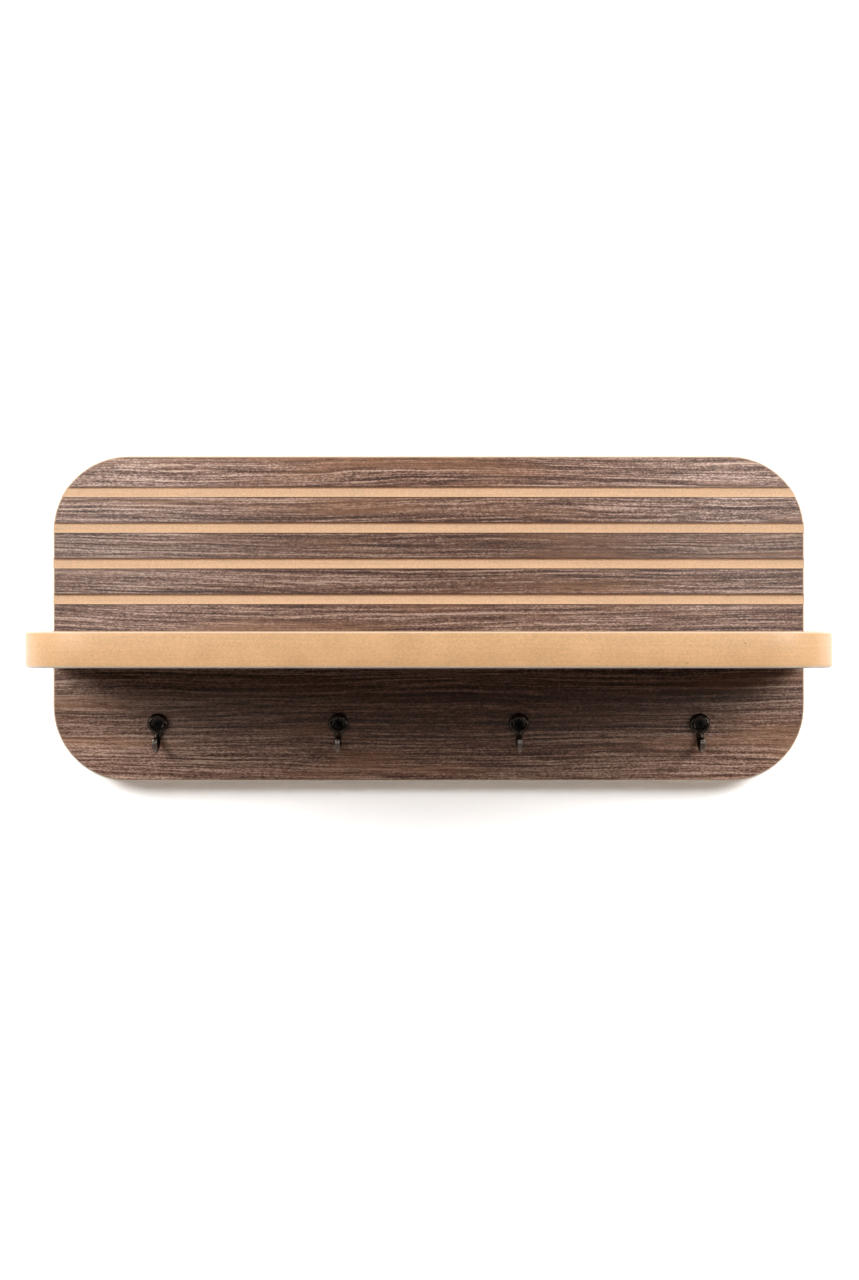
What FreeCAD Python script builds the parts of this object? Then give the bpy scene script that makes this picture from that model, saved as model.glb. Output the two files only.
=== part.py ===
# Wall shelf: a walnut-faced back board with four milled grooves, a deep ledge across it and a row of
# small hooks below the ledge.
# Millimetres, +X to the right, +Z up, front towards -Y. The wall is the plane y = 0, and the origin is
# the middle of the back board's back face.

import FreeCAD
import Part

import math
import os

from FreeCAD import Vector

# Sheet that the board and the shelf are cut from
core_thickness = 17.4
facing_thickness = 0.3
arris = 1.0  # 45 degree easing along the cut edges
panel_thickness = core_thickness + 2 * facing_thickness

# Back board, from its top edge down
board_width = 400.0
board_corner_radius = 40.0
top_band = 16.7  # above the first groove
groove_count = 4
groove_pitch = 19.0
groove_width = 5.2
groove_depth = 1.5
band_above_shelf = 14.8  # from the last groove to the shelf's top
lower_panel_height = 61.5  # from the shelf's underside to the bottom edge

# Shelf, as wide as the board and square on to it
shelf_projection = 130.0
shelf_corner_radius = 40.0

# Hooks, one plate with a single screw hole each
hook_count = 4
hook_spacing = 96.0
hook_below_shelf = 30.6  # from the shelf's underside to the screw's centre
plate_radius = 5.45
plate_edge = 1.5  # straight side of the plate, next to the board
plate_face_radius = 3.9  # of the flat front, inside the bevelled rim
plate_thickness = 3.0
plate_hole_radius = 1.7
plate_sink_radius = 3.1
stem_stand = 1.5  # from the board's face to the middle of the stem
back_sweep_radius = 9.7  # of the long curve from the plate to the lowest point
front_bend_radius = 6.4  # of the tighter curve up to the tip
hook_drop = 14.2  # from the screw's centre to the middle of the hook's lowest point
tip_rise = 5.6  # of the tip's ball above that point
tip_radius = 1.5
stem_width = 3.4
stem_thickness = 2.6
stem_sides = 10  # flat facets round the stem and its ball

# Along the stem, from the plate to the ball: shares of a quarter turn, of its width and of its thickness
stem_shares = (
    (0.00, 1.88, 0.70),
    (0.16, 1.30, 0.78),
    (0.36, 1.06, 0.90),
    (0.58, 0.97, 0.96),
    (0.80, 0.80, 1.00),
    (1.00, 0.66, 1.00),
    (1.22, 0.82, 1.00),
    (1.44, 0.98, 0.97),
    (1.66, 0.95, 0.92),
)

# Round the ball, from the stem to its far end: shares of a half turn
ball_shares = (0.28, 0.44, 0.60, 0.76, 0.90)

# Screws: one in each hook, and those that hold the shelf from behind
hook_screw_length = 16.0
hook_screw_radius = 1.5
hook_screw_head_radius = 2.6
shelf_screw_length = 50.0
shelf_screw_radius = 2.0
shelf_screw_head_radius = 4.0
shelf_screw_inset = 50.0  # from the shelf's ends

# Dowels between the board and the shelf
dowel_length = 30.0
dowel_radius = 4.0
dowel_in_board = 12.0
dowel_inset = 110.0  # from the shelf's ends

# Keyhole slots routed into the back, which two screws in the wall hook into
keyhole_edge_inset = 50.0  # from the board's ends
keyhole_below_top = 30.0  # from the board's top edge to the upper end's centre
keyhole_travel = 12.0  # from the entry's centre up to there
keyhole_entry_radius = 4.75
keyhole_slot_width = 4.8
keyhole_lip = 5.0  # that the wall screw's head bears on
keyhole_depth = 10.0

# Clearances
hole_clearance = 0.05  # round a screw or a dowel, on the radius
seat_clearance = 0.1  # under a countersunk head, on the radius
depth_clearance = 0.5  # past the end of a screw or a dowel
overrun = 1.0  # of every cutting shape past what it cuts
same_place = 0.01  # edges closer than this to a plane lie in it

# Levels that several pieces share
board_height = (top_band + (groove_count - 1) * groove_pitch + groove_width + band_above_shelf
                + panel_thickness + lower_panel_height)
board_top = board_height / 2
board_front = -panel_thickness
shelf_underside = lower_panel_height - board_top
shelf_top = shelf_underside + panel_thickness
shelf_middle = shelf_underside + panel_thickness / 2
shelf_front = board_front - shelf_projection
hook_level = shelf_underside - hook_below_shelf
keyhole_level = board_top - keyhole_below_top

along_x = Vector(1, 0, 0)
along_y = Vector(0, 1, 0)
along_z = Vector(0, 0, 1)


# Small helpers

def block(x_low, x_high, y_low, y_high, z_low, z_high):
    return Part.makeBox(x_high - x_low, y_high - y_low, z_high - z_low, Vector(x_low, y_low, z_low))


def edges_along(shape, direction):
    straight = [edge for edge in shape.Edges if isinstance(edge.Curve, Part.Line)]
    return [edge for edge in straight if abs(edge.Curve.Direction.dot(direction)) > math.cos(same_place)]


def spans(edge, axis):
    box = edge.BoundBox
    return {"x": (box.XMin, box.XMax), "y": (box.YMin, box.YMax), "z": (box.ZMin, box.ZMax)}[axis]


def edges_at(shape, axis, level):
    return [edge for edge in shape.Edges
            if all(abs(end - level) < same_place for end in spans(edge, axis))]


def one_solid(shape):
    return shape.removeSplitter().Solids[0]


def revolved(profile):
    # The profile's points are (radius, y), and it turns about the Y axis
    corners = [Vector(radius, y, 0) for radius, y in profile]
    outline = Part.makePolygon(corners + corners[:1])
    return Part.Face(outline).revolve(Vector(0, 0, 0), along_y, 360)


def placed(shape, x, y, z, facing_back=False):
    # Shapes made to point along +Y are turned about Z where they point at the front instead
    copy = shape.copy()
    if facing_back:
        copy.rotate(Vector(0, 0, 0), along_z, 180)
    copy.translate(Vector(x, y, z))
    return copy


# Where things repeat

def hook_places():
    middle = (hook_count - 1) / 2
    return [(number - middle) * hook_spacing for number in range(hook_count)]


def pair(inset):
    outer = board_width / 2 - inset
    return [-outer, outer]


def shelf_screw_places():
    return pair(shelf_screw_inset)


def dowel_places():
    return pair(dowel_inset)


def keyhole_places():
    return pair(keyhole_edge_inset)


# Fasteners, each with the middle of its head's face at the origin and its end towards +Y

def countersunk_screw(head_radius, shank_radius, length):
    return revolved([
        (0, 0),
        (head_radius, 0),
        (shank_radius, head_radius - shank_radius),
        (shank_radius, length),
        (0, length),
    ])


def countersunk_hole(mouth_radius, hole_radius, length):
    # The cone starts a little outside, so that it cuts cleanly through the face
    return revolved([
        (0, -overrun),
        (mouth_radius + overrun, -overrun),
        (hole_radius, mouth_radius - hole_radius),
        (hole_radius, length),
        (0, length),
    ])


def straight_hole(radius, length):
    return Part.makeCylinder(radius, overrun + length, Vector(0, -overrun, 0), along_y)


def dowel():
    return Part.makeCylinder(dowel_radius, dowel_length, Vector(0, 0, 0), along_y)


# How deep a head lies under its face, where it seats in its countersink

def head_depth(mouth_radius, head_radius):
    return mouth_radius - head_radius - seat_clearance


shelf_sink_radius = shelf_screw_head_radius + 2 * seat_clearance
shelf_screw_set_in = head_depth(shelf_sink_radius, shelf_screw_head_radius)
hook_screw_set_in = head_depth(plate_sink_radius, hook_screw_head_radius)


# Keyhole slot, its upper end's centre at the origin, cut from y = 0 towards -Y

def keyhole_run(radius, depth_from, depth_to):
    # A slot with round ends, as long as the wall screw's travel
    run = block(-radius, radius, -depth_to, -depth_from, -keyhole_travel, 0)
    for level in (-keyhole_travel, 0):
        end = Part.makeCylinder(radius, depth_to - depth_from, Vector(0, -depth_to, level), along_y)
        run = run.fuse(end)
    return run


def keyhole():
    entry = Part.makeCylinder(
        keyhole_entry_radius,
        keyhole_depth + overrun,
        Vector(0, -keyhole_depth, -keyhole_travel),
        along_y,
    )
    slot = keyhole_run(keyhole_slot_width / 2, -overrun, keyhole_lip)
    undercut = keyhole_run(keyhole_entry_radius, keyhole_lip, keyhole_depth)
    return entry.fuse([slot, undercut]).removeSplitter()


# Hook, its plate's back in y = 0 and its screw on the Y axis, reaching towards -Y

def hook_plate():
    sink_depth = plate_sink_radius - plate_hole_radius
    return revolved([
        (plate_hole_radius, 0),
        (plate_radius, 0),
        (plate_radius, -plate_edge),
        (plate_face_radius, -plate_thickness),
        (plate_sink_radius, -plate_thickness),
        (plate_hole_radius, -plate_thickness + sink_depth),
    ])


def stem_frame(angle):
    # The middle line runs straight down at angle 0, level at a quarter turn and up again beyond that
    low = Vector(0, -stem_stand - back_sweep_radius, -hook_drop)
    radius = back_sweep_radius if angle < math.pi / 2 else front_bend_radius
    place = low + Vector(0, radius * math.cos(angle), radius - radius * math.sin(angle))
    across = Vector(0, math.cos(angle), -math.sin(angle))
    return place, across


def ring(place, across, width, thickness):
    # Points of an oval in the plane of X and the direction given
    turns = [2 * math.pi * side / stem_sides for side in range(stem_sides)]
    return [
        place + along_x * (width / 2 * math.cos(turn)) + across * (thickness / 2 * math.sin(turn))
        for turn in turns
    ]


def flat(corners):
    return Part.Face(Part.makePolygon(corners + corners[:1]))


def skinned(rings):
    # Flat facets from ring to ring, two between each pair of neighbouring points
    faces = [flat(rings[0]), flat(rings[-1])]
    for lower, upper in zip(rings, rings[1:]):
        for side in range(stem_sides):
            faces.append(flat([lower[side - 1], lower[side], upper[side - 1]]))
            faces.append(flat([lower[side], upper[side], upper[side - 1]]))
    return Part.Solid(Part.Shell(faces))


def stem_rings():
    return [
        ring(*stem_frame(turn * math.pi / 2), width * stem_width, thickness * stem_thickness)
        for turn, width, thickness in stem_shares
    ]


def ball_rings():
    # The stem ends where its middle line has climbed to the ball's centre
    last_angle = math.pi / 2 + math.acos(1 - tip_rise / front_bend_radius)
    centre, across = stem_frame(last_angle)
    onward = across.cross(along_x)
    rings = []
    for share in ball_shares:
        turn = share * math.pi
        diameter = 2 * tip_radius * math.sin(turn)
        rings.append(ring(centre - onward * (tip_radius * math.cos(turn)), across, diameter, diameter))
    return rings


def hook():
    body = hook_plate().fuse(skinned(stem_rings() + ball_rings()))
    return one_solid(body)


# Back board

def board_blank():
    half_width = board_width / 2
    blank = block(-half_width, half_width, board_front, 0, -board_top, board_top)
    blank = blank.makeFillet(board_corner_radius, edges_along(blank, along_y))
    return blank.makeChamfer(arris, edges_at(blank, "y", board_front) + edges_at(blank, "y", 0))


def grooves():
    reach = board_width / 2 + overrun
    tops = [board_top - top_band - number * groove_pitch for number in range(groove_count)]
    return [
        block(-reach, reach, board_front - overrun, board_front + groove_depth, top - groove_width, top)
        for top in tops
    ]


def board_holes():
    hook_pilot = straight_hole(
        hook_screw_radius + hole_clearance,
        hook_screw_length - plate_thickness + hook_screw_set_in + depth_clearance,
    )
    dowel_hole = straight_hole(dowel_radius + hole_clearance, dowel_in_board + depth_clearance)
    shelf_screw_hole = countersunk_hole(
        shelf_sink_radius, shelf_screw_radius + hole_clearance, panel_thickness + overrun)
    holes = [placed(hook_pilot, x, board_front, hook_level) for x in hook_places()]
    holes += [placed(dowel_hole, x, board_front, shelf_middle) for x in dowel_places()]
    holes += [placed(shelf_screw_hole, x, 0, shelf_middle, facing_back=True) for x in shelf_screw_places()]
    holes += [placed(keyhole(), x, 0, keyhole_level) for x in keyhole_places()]
    return holes


def back_board():
    # The faced sheet is cut, eased, grooved and drilled whole, and then parted into its layers
    board = board_blank().cut(grooves() + board_holes())
    reach = board_width
    core = block(-reach, reach, board_front + facing_thickness, -facing_thickness, -reach, reach)
    front = block(-reach, reach, board_front - overrun, board_front + facing_thickness, -reach, reach)
    back = block(-reach, reach, -facing_thickness, overrun, -reach, reach)
    strips = sorted(board.common(front).Solids, key=lambda solid: -solid.CenterOfMass.z)
    pieces = {
        "back_board_core": board.common(core).Solids[0],
        "back_facing": board.common(back).Solids[0],
    }
    for number, strip in enumerate(strips[:-1], start=1):
        pieces[f"facing_strip_{number}"] = strip
    pieces["facing_lower_panel"] = strips[-1]
    return pieces


# Shelf

def shelf_blank():
    half_width = board_width / 2
    blank = block(-half_width, half_width, shelf_front, board_front, shelf_underside, shelf_top)
    front_corners = [edge for edge in edges_along(blank, along_z)
                     if spans(edge, "y")[1] < board_front - arris]
    blank = blank.makeFillet(shelf_corner_radius, front_corners)
    outlines = edges_at(blank, "z", shelf_top) + edges_at(blank, "z", shelf_underside)
    butted = edges_at(blank, "y", board_front)
    eased = [edge for edge in outlines if not any(edge.isSame(other) for other in butted)]
    return blank.makeChamfer(arris, eased)


def shelf_holes():
    dowel_hole = straight_hole(
        dowel_radius + hole_clearance, dowel_length - dowel_in_board + depth_clearance)
    pilot = straight_hole(
        shelf_screw_radius + hole_clearance,
        shelf_screw_length + shelf_screw_set_in - panel_thickness + depth_clearance,
    )
    holes = [placed(dowel_hole, x, board_front, shelf_middle, facing_back=True) for x in dowel_places()]
    holes += [placed(pilot, x, board_front, shelf_middle, facing_back=True) for x in shelf_screw_places()]
    return holes


def shelf():
    panel = shelf_blank().cut(shelf_holes())
    reach = board_width
    core_low = shelf_underside + facing_thickness
    core_high = shelf_top - facing_thickness
    layers = {
        "shelf_underside_facing": (shelf_underside - overrun, core_low),
        "shelf_core": (core_low, core_high),
        "shelf_top_facing": (core_high, shelf_top + overrun),
    }
    return {
        name: panel.common(block(-reach, reach, -reach, reach, low, high)).Solids[0]
        for name, (low, high) in layers.items()
    }


# Groups of like fasteners

def hook_screws():
    screw = countersunk_screw(hook_screw_head_radius, hook_screw_radius, hook_screw_length)
    head_face = board_front - plate_thickness + hook_screw_set_in
    return [placed(screw, x, head_face, hook_level) for x in hook_places()]


def shelf_screws():
    screw = countersunk_screw(shelf_screw_head_radius, shelf_screw_radius, shelf_screw_length)
    return [placed(screw, x, -shelf_screw_set_in, shelf_middle, facing_back=True)
            for x in shelf_screw_places()]


def dowels():
    return [placed(dowel(), x, board_front + dowel_in_board, shelf_middle, facing_back=True)
            for x in dowel_places()]


def all_pieces():
    pieces = back_board()
    pieces.update(shelf())
    one_hook = hook()
    for number, x in enumerate(hook_places(), start=1):
        pieces[f"hook_{number}"] = placed(one_hook, x, board_front, hook_level)
    pieces["hook_screws"] = Part.makeCompound(hook_screws())
    pieces["shelf_screws"] = Part.makeCompound(shelf_screws())
    pieces["dowels"] = Part.makeCompound(dowels())
    return pieces


os.makedirs("parts", exist_ok=True)
for name, shape in all_pieces().items():
    shape.exportStep(f"parts/{name}.step")
    print(f"{name}: {len(shape.Solids)} solid(s), {shape.Volume:.1f} mm3, valid {shape.isValid()}")
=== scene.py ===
import math

import bmesh
import bpy
from mathutils import Matrix, Vector


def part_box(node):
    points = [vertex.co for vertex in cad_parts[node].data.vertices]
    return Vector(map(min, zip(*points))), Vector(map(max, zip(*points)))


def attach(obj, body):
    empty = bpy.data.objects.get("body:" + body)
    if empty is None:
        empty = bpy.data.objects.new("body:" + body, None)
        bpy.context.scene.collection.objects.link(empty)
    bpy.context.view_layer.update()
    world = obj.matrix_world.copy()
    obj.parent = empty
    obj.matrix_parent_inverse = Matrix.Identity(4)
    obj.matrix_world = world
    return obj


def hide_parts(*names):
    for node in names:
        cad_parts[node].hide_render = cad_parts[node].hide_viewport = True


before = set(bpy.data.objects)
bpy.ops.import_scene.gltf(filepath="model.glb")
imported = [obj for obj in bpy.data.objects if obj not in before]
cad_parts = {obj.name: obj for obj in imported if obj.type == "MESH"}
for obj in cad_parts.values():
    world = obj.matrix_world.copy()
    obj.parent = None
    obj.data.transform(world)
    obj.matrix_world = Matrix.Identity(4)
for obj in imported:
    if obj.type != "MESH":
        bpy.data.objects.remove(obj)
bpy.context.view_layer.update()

mm = 0.001  # the scene is in metres, and sizes below are written in millimetres
scene = bpy.context.scene
print("frame loaded:", len(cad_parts), "nodes")


# Helpers for materials

wholeNoise = (0.25, 0.75)  # nearly all values of a noise texture lie between these
mostNoise = (0.35, 0.65)  # and most of them between these


def hexToLinear(code):
    # "#rrggbb" as a designer picks it, to the linear colour that the shader wants
    parts = [int(code[place:place + 2], 16) / 255 for place in (1, 3, 5)]
    linear = [part / 12.92 if part <= 0.04045 else ((part + 0.055) / 1.055) ** 2.4 for part in parts]
    return (*linear, 1.0)


def addNode(tree, kind, sockets=None, **settings):
    # One node with its settings. A socket takes a value, a hex colour or the output that feeds it
    node = tree.nodes.new("ShaderNode" + kind)
    for name, value in settings.items():
        if name == "stops":
            ramp = node.color_ramp
            while len(ramp.elements) < len(value):
                ramp.elements.new(0.5)
            for element, (place, code) in zip(ramp.elements, value):
                element.position = place
                element.color = hexToLinear(code)
        else:
            setattr(node, name, value)
    for socket, value in (sockets or {}).items():
        if isinstance(value, bpy.types.NodeSocket):
            tree.links.new(value, node.inputs[socket])
        elif isinstance(value, str):
            node.inputs[socket].default_value = hexToLinear(value)
        else:
            node.inputs[socket].default_value = value
    return node


def newMaterial(name):
    material = bpy.data.materials.new(name)
    material.use_nodes = True
    material.node_tree.nodes.clear()
    return material, material.node_tree


def millimetres(tree, place):
    # The piece's own coordinates, in millimetres
    return addNode(tree, "VectorMath", {0: place.outputs["Object"], 1: (1 / mm, 1 / mm, 1 / mm)},
                   operation="MULTIPLY").outputs[0]


def noiseAcross(tree, along, across, size, detail, seed, fineness=0.6):
    # Noise stretched along the grain, worked out from its size in millimetres
    flat = addNode(tree, "CombineXYZ", {"X": along, "Y": across, "Z": seed})
    scaled = addNode(tree, "VectorMath", {0: flat.outputs[0], 1: (1 / size[0], 1 / size[1], 1.0)},
                     operation="MULTIPLY")
    return addNode(tree, "TexNoise", {"Vector": scaled.outputs[0], "Scale": 1.0, "Detail": detail,
                                      "Roughness": fineness}).outputs[0]


def seenDirectly(tree):
    # One where the camera sees the surface straight, in a reflection or through glass, and else zero
    path = addNode(tree, "LightPath")
    seen = addNode(tree, "Math", {0: path.outputs["Is Camera Ray"], 1: path.outputs["Is Glossy Ray"]},
                   operation="MAXIMUM")
    return addNode(tree, "Math", {0: seen.outputs[0], 1: path.outputs["Is Transmission Ray"]},
                   operation="MAXIMUM").outputs[0]


# Helpers for shapes

def middle(low, high):
    return (low + high) / 2


def linkPiece(name, mesh):
    piece = bpy.data.objects.new(name, mesh)
    scene.collection.objects.link(piece)
    return piece


def applyModifiers(piece):
    graph = bpy.context.evaluated_depsgraph_get()
    baked = bpy.data.meshes.new_from_object(piece.evaluated_get(graph))
    piece.modifiers.clear()
    piece.data = baked


def faceOutward(mesh):
    work = bmesh.new()
    work.from_mesh(mesh)
    bmesh.ops.recalc_face_normals(work, faces=work.faces)
    work.to_mesh(mesh)
    work.free()


def smoothMesh(mesh, sharpDegrees):
    # Smooth shading, with sharp edges where the form turns hard
    faceOutward(mesh)
    mesh.shade_smooth()
    mesh.set_sharp_from_angle(angle=math.radians(sharpDegrees))


def turnsOf(sides):
    return [2 * math.pi * side / sides for side in range(sides)]


def unevenRing(radii, y):
    # A ring about Y, with a radius for each side
    return [Vector((radius * math.cos(turn), y, radius * math.sin(turn)))
            for radius, turn in zip(radii, turnsOf(len(radii)))]


def turnedRing(radius, y, sides):
    return unevenRing([radius] * sides, y)


def ovalRing(centre, across, width, thickness, sides):
    return [centre + Vector((width / 2 * math.cos(turn), 0, 0)) + across * (thickness / 2 * math.sin(turn))
            for turn in turnsOf(sides)]


def skinRings(name, rings, closedLoop=False):
    # Quads from ring to ring; the two end rings are capped, or joined to each other where the loop is closed
    sides = len(rings[0])
    faces = []
    for row in range(len(rings) if closedLoop else len(rings) - 1):
        here = row * sides
        onward = (row + 1) % len(rings) * sides
        for side in range(sides):
            after = (side + 1) % sides
            faces.append((here + side, here + after, onward + after, onward + side))
    if not closedLoop:
        faces.append(tuple(range(sides)))
        faces.append(tuple(range((len(rings) - 1) * sides, len(rings) * sides)))
    mesh = bpy.data.meshes.new(name)
    mesh.from_pydata([point for ring in rings for point in ring], [], faces)
    return mesh


def cutAway(piece, cutter):
    cut = piece.modifiers.new("cut", "BOOLEAN")
    cut.operation = "DIFFERENCE"
    cut.solver = "EXACT"
    cut.object = cutter
    applyModifiers(piece)
    bpy.data.objects.remove(cutter)


# Where the pieces are, from the frame

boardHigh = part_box("back_board_core")[1]
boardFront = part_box("facing_lower_panel")[0].y
hookNames = sorted(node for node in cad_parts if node.startswith("hook_") and node != "hook_screws")
strips = [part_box(node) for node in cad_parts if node.startswith("facing_")]
strips.sort(key=lambda ends: -ends[0].z)
groovePitch = (strips[0][0].z - strips[1][0].z) / mm
grooveWidth = (strips[0][0].z - strips[1][1].z) / mm
grooveLevels = [middle(above[0].z, below[1].z) / mm for above, below in zip(strips, strips[1:])]

# Camera, square on to the board

camera = {
    "distance": 1364,  # from the board's face, so that the shelf's front looks a tenth wider than the board
    "mmPerPixel": 0.5319,  # at the board's face
    "right": 0.4,  # of the board's middle
    "up": -11.4,
    "frameHeight": 1280,  # pixels
    "filmHeight": 36,
}


def addCamera():
    data = bpy.data.cameras.new("frontCamera")
    data.sensor_fit = "VERTICAL"
    data.sensor_height = camera["filmHeight"]
    data.lens = camera["filmHeight"] * camera["distance"] / (camera["mmPerPixel"] * camera["frameHeight"])
    eye = linkPiece("frontCamera", data)
    eye.location = (camera["right"] * mm, boardFront - camera["distance"] * mm, camera["up"] * mm)
    eye.rotation_euler = (math.pi / 2, 0, 0)
    scene.camera = eye


addCamera()
print("camera placed")

# Lights, the same on the left and on the right, aimed at the middle of the board

sideLamps = {
    # A broad softbox a little above, with a smaller and harder core further round
    "Softbox": {"azimuth": 44, "elevation": 19, "distance": 920, "width": 520, "height": 440, "watts": 4.95},
    "Core": {"azimuth": 54, "elevation": 19, "distance": 920, "width": 200, "height": 200, "watts": 1.0},
    # The softbox's bright inner edge, seen only in reflections, gives the walnut its sheen
    "Strip": {"azimuth": 17, "elevation": 9.5, "distance": 920, "width": 90, "height": 240, "watts": 0.56,
              "onlyReflected": True},
    # A pale reflector at each end, which fills the shelf's round corners
    "Fill": {"azimuth": 84, "elevation": 14, "distance": 1500, "width": 1100, "height": 700, "watts": 1.5},
}
backLight = {"distance": 1500, "size": 1200, "watts": 9}
roomLight = {"ambient": "#fff9f2", "ambientStrength": 0.012, "background": "#ffffff"}
flag = {"distance": 2400, "halfWidth": 2600, "low": -1100, "high": 2000, "cloth": "#0c0c0d"}


def aimedLamp(name, place, width, height, watts):
    data = bpy.data.lights.new(name, "AREA")
    data.shape = "RECTANGLE"
    data.size = width * mm
    data.size_y = height * mm
    data.energy = watts
    lamp = linkPiece(name, data)
    lamp.location = place
    lamp.rotation_euler = (-place).to_track_quat("-Z", "Y").to_euler()
    lamp.visible_camera = False
    return lamp


def lampPlace(side, lampForm):
    turn = math.radians(lampForm["azimuth"])
    rise = math.radians(lampForm["elevation"])
    towards = Vector((side * math.sin(turn) * math.cos(rise), -math.cos(turn) * math.cos(rise),
                      math.sin(rise)))
    return towards * lampForm["distance"] * mm


def addLights():
    for sideName, side in (("left", -1), ("right", 1)):
        for kind, lampForm in sideLamps.items():
            lamp = aimedLamp(sideName + kind, lampPlace(side, lampForm), lampForm["width"],
                             lampForm["height"], lampForm["watts"])
            lamp.visible_diffuse = not lampForm.get("onlyReflected", False)
    # For views from behind: it comes through the opening in the wall, which the board covers
    behind = Vector((0, backLight["distance"] * mm, 0))
    aimedLamp("backSoftbox", behind, backLight["size"], backLight["size"], backLight["watts"])


def addFlag():
    # Black cloth behind the camera, so that what faces the front doesn't mirror the white room
    across = flag["halfWidth"] * mm
    depth = -flag["distance"] * mm
    low = flag["low"] * mm
    high = flag["high"] * mm
    mesh = bpy.data.meshes.new("flag")
    corners = [(-across, depth, low), (across, depth, low), (across, depth, high), (-across, depth, high)]
    mesh.from_pydata(corners, [], [(0, 1, 2, 3)])
    cloth, tree = newMaterial("blackFlagCloth")
    felt = addNode(tree, "BsdfDiffuse", {"Color": flag["cloth"]})
    addNode(tree, "OutputMaterial", {"Surface": felt.outputs[0]})
    mesh.materials.append(cloth)
    screen = linkPiece("flag", mesh)
    screen.visible_camera = False


def addWorld():
    # A room that shows white but lights the shelf only faintly
    world = bpy.data.worlds.new("paleRoom")
    world.use_nodes = True
    tree = world.node_tree
    tree.nodes.clear()
    ambient = addNode(tree, "Background", {"Color": roomLight["ambient"],
                                           "Strength": roomLight["ambientStrength"]})
    white = addNode(tree, "Background", {"Color": roomLight["background"], "Strength": 1.0})
    mixed = addNode(tree, "MixShader", {0: seenDirectly(tree), 1: ambient.outputs[0], 2: white.outputs[0]})
    addNode(tree, "OutputWorld", {"Surface": mixed.outputs[0]})
    scene.world = world


addLights()
addFlag()
addWorld()
print("lights placed")

# Wall and floor

room = {
    "wallHalfWidth": 1000,
    "wallTop": 900,
    "wallBehind": 0.3,  # from the board's back to the wall
    "openingInset": 2,  # from the board's outline to the hole behind it
    "openingCorner": 38,
    "cornerSteps": 6,
    "floorHalfWidth": 3000,
    "floorLevel": -1200,
}
emulsion = {"stipple": 2.4, "relief": 0.4, "reliefStrength": 0.08, "roughness": 0.85, "specular": 0.2}
# "shown" and "glow" are how bright the lit paint shows to the camera and in reflections, with its shadows
wallPaint = {"colour": "#f8f7f5", "shown": 2.2, "glow": 0.08, "clearFromBehind": True}
floorPaint = {"colour": "#e9e7e3", "shown": 0.8, "glow": 0.55, "clearFromBehind": False}


def rolledEmulsion(name, paint):
    # Matt emulsion paint, rolled on: a soft even white with a faint stipple, shown as a bright backdrop
    material, tree = newMaterial(name)
    place = addNode(tree, "TexCoord")
    stipple = addNode(tree, "TexNoise", {"Vector": place.outputs["Object"],
                                         "Scale": 1 / (emulsion["stipple"] * mm), "Detail": 2.0})
    bump = addNode(tree, "Bump", {"Height": stipple.outputs[0], "Strength": emulsion["reliefStrength"],
                                  "Distance": emulsion["relief"] * mm})
    coat = addNode(tree, "BsdfPrincipled", {"Base Color": paint["colour"], "Normal": bump.outputs[0],
                                            "Roughness": emulsion["roughness"],
                                            "Specular IOR Level": emulsion["specular"]})
    shown = paint["shown"]
    bright = addNode(tree, "BsdfDiffuse", {"Color": (shown, shown, shown, 1.0), "Normal": bump.outputs[0]})
    glow = addNode(tree, "Emission", {"Color": roomLight["background"], "Strength": paint["glow"]})
    backdrop = addNode(tree, "AddShader", {0: bright.outputs[0], 1: glow.outputs[0]})
    surface = addNode(tree, "MixShader", {0: seenDirectly(tree), 1: coat.outputs[0], 2: backdrop.outputs[0]})
    if paint["clearFromBehind"]:
        side = addNode(tree, "NewGeometry")
        clear = addNode(tree, "BsdfTransparent")
        surface = addNode(tree, "MixShader", {0: side.outputs["Backfacing"], 1: surface.outputs[0],
                                              2: clear.outputs[0]})
    addNode(tree, "OutputMaterial", {"Surface": surface.outputs[0]})
    return material


def wallWithOpening():
    # The board covers a hole in the wall, so that its back can be looked at from behind
    inset = room["openingInset"] * mm
    corner = room["openingCorner"] * mm
    behind = room["wallBehind"] * mm
    inner = []
    for signX, signZ, start in ((1, 1, 0), (-1, 1, 90), (-1, -1, 180), (1, -1, 270)):
        for step in range(room["cornerSteps"] + 1):
            angle = math.radians(start + 90 * step / room["cornerSteps"])
            inner.append(Vector((signX * (boardHigh.x - inset - corner) + corner * math.cos(angle), behind,
                                 signZ * (boardHigh.z - inset - corner) + corner * math.sin(angle))))
    halfWidth = room["wallHalfWidth"] * mm
    top = room["wallTop"] * mm
    bottom = room["floorLevel"] * mm
    outer = []
    for point in inner:
        edge = top if point.z > 0 else -bottom
        reach = min(halfWidth / max(abs(point.x), mm), edge / max(abs(point.z), mm))
        outer.append(Vector((point.x * reach, behind, point.z * reach)))
    for x in (halfWidth, -halfWidth):
        for z in (top, bottom):
            wallCorner = Vector((x, behind, z))
            nearest = min(range(len(outer)), key=lambda place: (outer[place] - wallCorner).length)
            outer[nearest] = wallCorner
    count = len(inner)
    faces = [(k, (k + 1) % count, count + (k + 1) % count, count + k) for k in range(count)]
    mesh = bpy.data.meshes.new("wall")
    mesh.from_pydata(inner + outer, [], faces)
    if mesh.polygons[0].normal.y > 0:
        mesh.flip_normals()
    return mesh


def addRoom():
    wallMesh = wallWithOpening()
    wallMesh.materials.append(rolledEmulsion("emulsionPaintWall", wallPaint))
    wall = linkPiece("wall", wallMesh)
    reach = room["floorHalfWidth"] * mm
    level = room["floorLevel"] * mm
    floorMesh = bpy.data.meshes.new("floor")
    corners = [(-reach, -reach, level), (reach, -reach, level),
               (reach, reach, level), (-reach, reach, level)]
    floorMesh.from_pydata(corners, [], [(0, 1, 2, 3)])
    floorMesh.materials.append(rolledEmulsion("paleFloor", floorPaint))
    floor = linkPiece("floor", floorMesh)


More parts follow.
